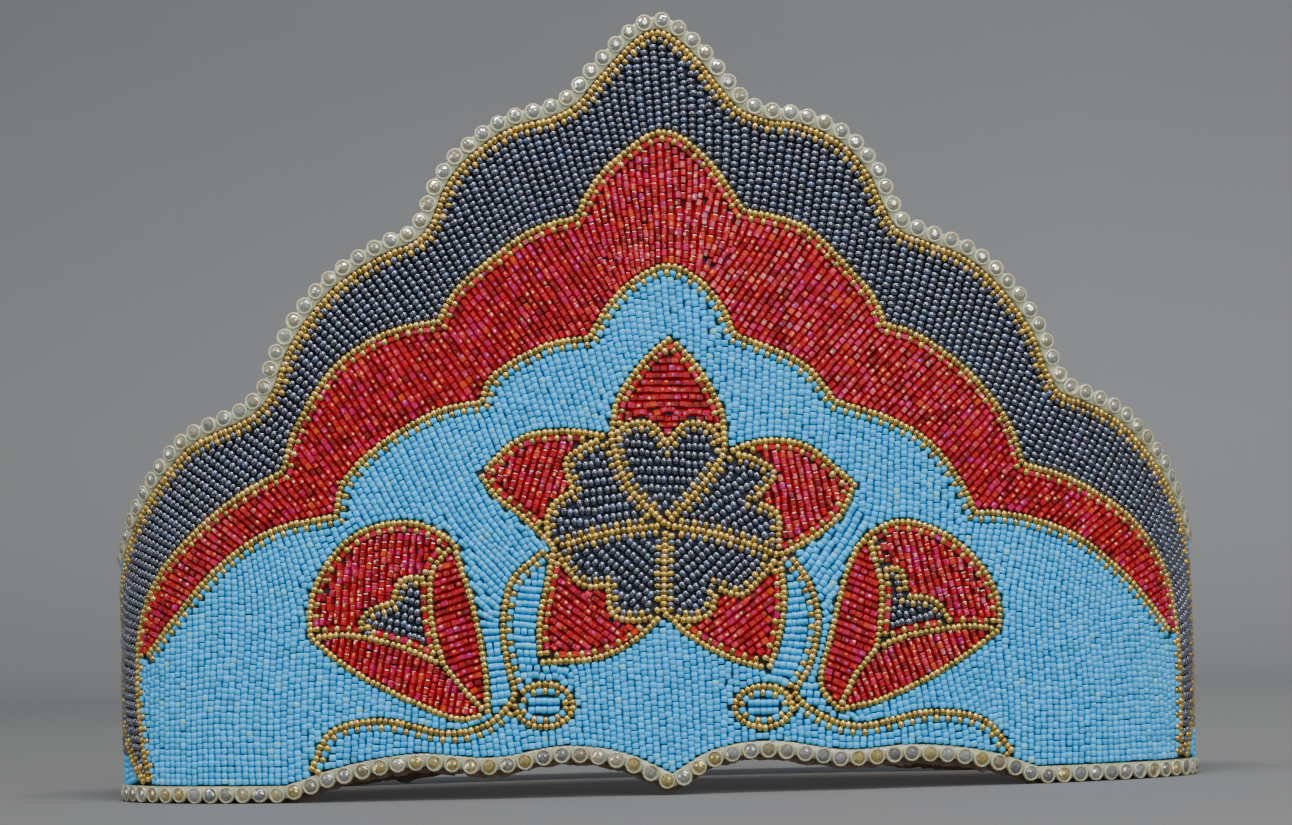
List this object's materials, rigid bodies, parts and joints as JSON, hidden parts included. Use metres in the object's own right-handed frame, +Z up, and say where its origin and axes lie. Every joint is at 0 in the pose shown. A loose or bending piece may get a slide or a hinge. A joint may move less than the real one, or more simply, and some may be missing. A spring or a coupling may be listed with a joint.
{
  "type": "beaded tiara",
  "caption": "Flattened ring tiara of leather with a tall scalloped front of seed beads, a flower and buds on stems in gold lines, a low back band and rhinestone banding along the edges.",
  "frame": {"origin": "centre of the bounding box in plan, on the surface the tiara stands on", "axes": "+X to the wearer's left as the front is faced, the ring's long way; -Y out of the tall front; +Z up, from the hem to the tip"},
  "size_m": [0.2506, 0.0899, 0.173],
  "materials": {
    "leather": "brown suede leather, matt, rough cut lower edge",
    "navy_beads": "opaque gunmetal navy glass seed beads with a metallic lustre",
    "red_beads": "deep red cut glass seed beads with a rainbow sparkle",
    "blue_beads": "opaque turquoise blue glass seed beads, satin",
    "gold_beads": "metallic gold seed beads, bright",
    "rhinestone_band": "milky clear plastic banding with small faceted clear stones"
  },
  "bodies": {
    "root": {"back_backing": "leather", "back_blue_high": "blue_beads", "back_blue_low": "blue_beads", "back_navy_stripe": "navy_beads", "blue_apron": "blue_beads", "blue_field": "blue_beads", "blue_gold_line": "gold_beads", "flower_gold_net": "gold_beads", "front_backing": "leather", "hem_banding_back": "rhinestone_band", "hem_banding_front": "rhinestone_band", "left_bud_gold_net": "gold_beads", "left_bud_heart": "navy_beads", "left_bud_low_lobe": "red_beads", "left_bud_side_lobe": "red_beads", "left_bud_top_lobe": "red_beads", "left_stem": "gold_beads", "navy_field": "navy_beads", "outer_gold_line": "gold_beads", "petal_left_heart": "navy_beads", "petal_left_red": "red_beads", "petal_lower_left_heart": "navy_beads", "petal_lower_left_red": "red_beads", "petal_lower_right_heart": "navy_beads", "petal_lower_right_red": "red_beads", "petal_right_heart": "navy_beads", "petal_right_red": "red_beads", "petal_top_heart": "navy_beads", "petal_top_red": "red_beads", "red_field": "red_beads", "red_gold_line": "gold_beads", "right_bud_gold_net": "gold_beads", "right_bud_heart": "navy_beads", "right_bud_low_lobe": "red_beads", "right_bud_side_lobe": "red_beads", "right_bud_top_lobe": "red_beads", "right_stem": "gold_beads", "top_banding_back": "rhinestone_band", "top_banding_front": "rhinestone_band"}
  },
  "joints": []
}
